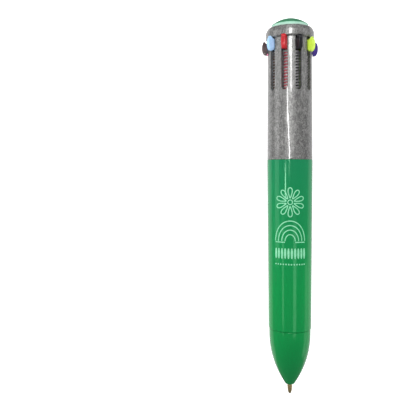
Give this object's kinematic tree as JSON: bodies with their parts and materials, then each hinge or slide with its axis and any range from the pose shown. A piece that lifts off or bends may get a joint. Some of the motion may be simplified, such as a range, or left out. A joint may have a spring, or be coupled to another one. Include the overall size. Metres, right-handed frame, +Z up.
{
  "type": "multicolour slide pen",
  "caption": "Thick retractable pen with a ring of coloured sliders under a domed cap, a slotted silver upper barrel, a green lower barrel and an ogive nose.",
  "frame": {"origin": "On the table under the pen, at the centre of the bottom of its box. The pen lies on the lower end of its lower barrel and on the pushed-down slider's knob.", "axes": "+X along the pen towards its head, which the lie of the pen tilts up by 1.4 degrees; +Z up off the table; +Y to the left of someone who looks from the nose to the head"},
  "size_m": [0.1497, 0.022, 0.0219],
  "materials": {
    "silver_plastic": "silver grey moulded plastic full of fine metallic flake, glossy",
    "body_green": "glossy moulded green plastic",
    "inner_plastic": "plain off-white moulded plastic, hidden inside",
    "brass": "turned brass, satin",
    "spring_steel": "drawn steel wire",
    "print_ink": "thin pale mint pad print",
    "orange_plastic": "glossy orange moulded plastic",
    "orange_ink": "clear thin tube full of orange ink",
    "pink_plastic": "glossy pink moulded plastic",
    "pink_ink": "clear thin tube full of pink ink",
    "brown_plastic": "glossy brown moulded plastic",
    "brown_ink": "clear thin tube full of brown ink",
    "sky_plastic": "glossy light blue moulded plastic",
    "sky_ink": "clear thin tube full of light blue ink",
    "red_plastic": "glossy red moulded plastic",
    "red_ink": "clear thin tube full of red ink",
    "black_plastic": "glossy black moulded plastic",
    "black_ink": "clear thin tube full of black ink",
    "lime_plastic": "glossy lime green moulded plastic",
    "lime_ink": "clear thin tube full of lime green ink",
    "purple_plastic": "glossy purple moulded plastic",
    "purple_ink": "clear thin tube full of purple ink",
    "blue_plastic": "glossy blue moulded plastic",
    "blue_ink": "clear thin tube full of blue ink",
    "green_plastic": "glossy green moulded plastic",
    "green_ink": "clear thin tube full of green ink"
  },
  "bodies": {
    "barrel": {"upper_barrel": "silver_plastic", "head_cap": "silver_plastic", "top_plug": "body_green", "centre_core": "inner_plastic", "guide_disc": "inner_plastic", "lower_barrel": "body_green", "nose_cone": "body_green", "spring_orange": "spring_steel", "spring_pink": "spring_steel", "spring_brown": "spring_steel", "spring_sky": "spring_steel", "spring_red": "spring_steel", "spring_black": "spring_steel", "spring_lime": "spring_steel", "spring_purple": "spring_steel", "spring_blue": "spring_steel", "spring_green": "spring_steel"},
    "slider_orange": {"slider_orange": "orange_plastic", "refill_orange": "orange_ink"},
    "slider_pink": {"slider_pink": "pink_plastic", "refill_pink": "pink_ink"},
    "slider_brown": {"slider_brown": "brown_plastic", "refill_brown": "brown_ink"},
    "slider_sky": {"slider_sky": "sky_plastic", "refill_sky": "sky_ink"},
    "slider_red": {"slider_red": "red_plastic", "refill_red": "red_ink"},
    "slider_black": {"slider_black": "black_plastic", "refill_black": "black_ink"},
    "slider_lime": {"slider_lime": "lime_plastic", "refill_lime": "lime_ink"},
    "slider_purple": {"slider_purple": "purple_plastic", "refill_purple": "purple_ink"},
    "slider_blue": {"slider_blue": "blue_plastic", "refill_blue": "blue_ink"},
    "slider_green": {"slider_green": "green_plastic", "refill_green": "green_ink"},
    "tip_orange": {"point_orange": "brass", "ball_orange": "spring_steel"},
    "tip_pink": {"point_pink": "brass", "ball_pink": "spring_steel"},
    "tip_brown": {"point_brown": "brass", "ball_brown": "spring_steel"},
    "tip_sky": {"point_sky": "brass", "ball_sky": "spring_steel"},
    "tip_red": {"point_red": "brass", "ball_red": "spring_steel"},
    "tip_black": {"point_black": "brass", "ball_black": "spring_steel"},
    "tip_lime": {"point_lime": "brass", "ball_lime": "spring_steel"},
    "tip_purple": {"point_purple": "brass", "ball_purple": "spring_steel"},
    "tip_blue": {"point_blue": "brass", "ball_blue": "spring_steel"},
    "tip_green": {"point_green": "brass", "ball_green": "spring_steel"}
  },
  "joints": [
    {"name": "slide_orange", "type": "slide", "parent": "barrel", "child": "slider_orange", "axis": [-0.9997, 0, -0.0245], "range_m": [0, 0.013], "stiffness_N_per_m": 60, "springref_m": -0.015, "deforming": ["spring_orange", "refill_orange", "point_orange", "ball_orange"]},
    {"name": "converge_orange", "type": "slide", "parent": "slider_orange", "child": "tip_orange", "axis": [-0.0233, -0.309, 0.9508], "range_m": [0, 0.004]},
    {"name": "slide_pink", "type": "slide", "parent": "barrel", "child": "slider_pink", "axis": [-0.9997, 0, -0.0245], "range_m": [0, 0.013], "stiffness_N_per_m": 60, "springref_m": -0.015, "deforming": ["spring_pink", "refill_pink", "point_pink", "ball_pink"]},
    {"name": "converge_pink", "type": "slide", "parent": "slider_pink", "child": "tip_pink", "axis": [-0.0144, -0.809, 0.5876], "range_m": [0, 0.004]},
    {"name": "slide_brown", "type": "slide", "parent": "barrel", "child": "slider_brown", "axis": [-0.9997, 0, -0.0245], "range_m": [0, 0.0123], "stiffness_N_per_m": 60, "springref_m": -0.015, "deforming": ["spring_brown", "refill_brown", "point_brown", "ball_brown"]},
    {"name": "converge_brown", "type": "slide", "parent": "slider_brown", "child": "tip_brown", "axis": [0, -1, 0], "range_m": [0, 0.004]},
    {"name": "slide_sky", "type": "slide", "parent": "barrel", "child": "slider_sky", "axis": [-0.9997, 0, -0.0245], "range_m": [0, 0.013], "stiffness_N_per_m": 60, "springref_m": -0.015, "deforming": ["spring_sky", "refill_sky", "point_sky", "ball_sky"]},
    {"name": "converge_sky", "type": "slide", "parent": "slider_sky", "child": "tip_sky", "axis": [0.0144, -0.809, -0.5876], "range_m": [0, 0.004]},
    {"name": "slide_red", "type": "slide", "parent": "barrel", "child": "slider_red", "axis": [-0.9997, 0, -0.0245], "range_m": [0, 0.0129], "stiffness_N_per_m": 60, "springref_m": -0.015, "deforming": ["spring_red", "refill_red", "point_red", "ball_red"]},
    {"name": "converge_red", "type": "slide", "parent": "slider_red", "child": "tip_red", "axis": [0.0233, -0.309, -0.9508], "range_m": [0, 0.004]},
    {"name": "slide_black", "type": "slide", "parent": "barrel", "child": "slider_black", "axis": [-0.9997, 0, -0.0245], "range_m": [0, 0.0126], "stiffness_N_per_m": 60, "springref_m": -0.015, "deforming": ["spring_black", "refill_black", "point_black", "ball_black"]},
    {"name": "converge_black", "type": "slide", "parent": "slider_black", "child": "tip_black", "axis": [0.0233, 0.309, -0.9508], "range_m": [0, 0.004]},
    {"name": "slide_lime", "type": "slide", "parent": "barrel", "child": "slider_lime", "axis": [-0.9997, 0, -0.0245], "range_m": [0, 0.0124], "stiffness_N_per_m": 60, "springref_m": -0.015, "deforming": ["spring_lime", "refill_lime", "point_lime", "ball_lime"]},
    {"name": "converge_lime", "type": "slide", "parent": "slider_lime", "child": "tip_lime", "axis": [0.0144, 0.809, -0.5876], "range_m": [0, 0.004]},
    {"name": "slide_purple", "type": "slide", "parent": "barrel", "child": "slider_purple", "axis": [-0.9997, 0, -0.0245], "range_m": [0, 0.0116], "stiffness_N_per_m": 60, "springref_m": -0.015, "deforming": ["spring_purple", "refill_purple", "point_purple", "ball_purple"]},
    {"name": "converge_purple", "type": "slide", "parent": "slider_purple", "child": "tip_purple", "axis": [0, 1, 0], "range_m": [0, 0.004]},
    {"name": "slide_blue", "type": "slide", "parent": "barrel", "child": "slider_blue", "axis": [-0.9997, 0, -0.0245], "range_m": [0, 0.0127], "stiffness_N_per_m": 60, "springref_m": -0.015, "deforming": ["spring_blue", "refill_blue", "point_blue", "ball_blue"]},
    {"name": "converge_blue", "type": "slide", "parent": "slider_blue", "child": "tip_blue", "axis": [-0.0144, 0.809, 0.5876], "range_m": [0, 0.004]},
    {"name": "slide_green", "type": "slide", "parent": "barrel", "child": "slider_green", "axis": [0.9997, 0, 0.0245], "range_m": [0, 0.013], "deforming": ["spring_green", "refill_green", "point_green", "ball_green"]},
    {"name": "converge_green", "type": "slide", "parent": "slider_green", "child": "tip_green", "axis": [0.0233, -0.309, -0.9508], "range_m": [0, 0.004]}
  ],
  "couplings": [
    {"joint": "converge_orange", "follows": "slide_orange", "ratio": 0.30769},
    {"joint": "converge_pink", "follows": "slide_pink", "ratio": 0.30769},
    {"joint": "converge_brown", "follows": "slide_brown", "ratio": 0.3252},
    {"joint": "converge_sky", "follows": "slide_sky", "ratio": 0.30769},
    {"joint": "converge_red", "follows": "slide_red", "ratio": 0.31008},
    {"joint": "converge_black", "follows": "slide_black", "ratio": 0.31746},
    {"joint": "converge_lime", "follows": "slide_lime", "ratio": 0.32258},
    {"joint": "converge_purple", "follows": "slide_purple", "ratio": 0.34483},
    {"joint": "converge_blue", "follows": "slide_blue", "ratio": 0.31496},
    {"joint": "converge_green", "follows": "slide_green", "ratio": 0.30769}
  ]
}
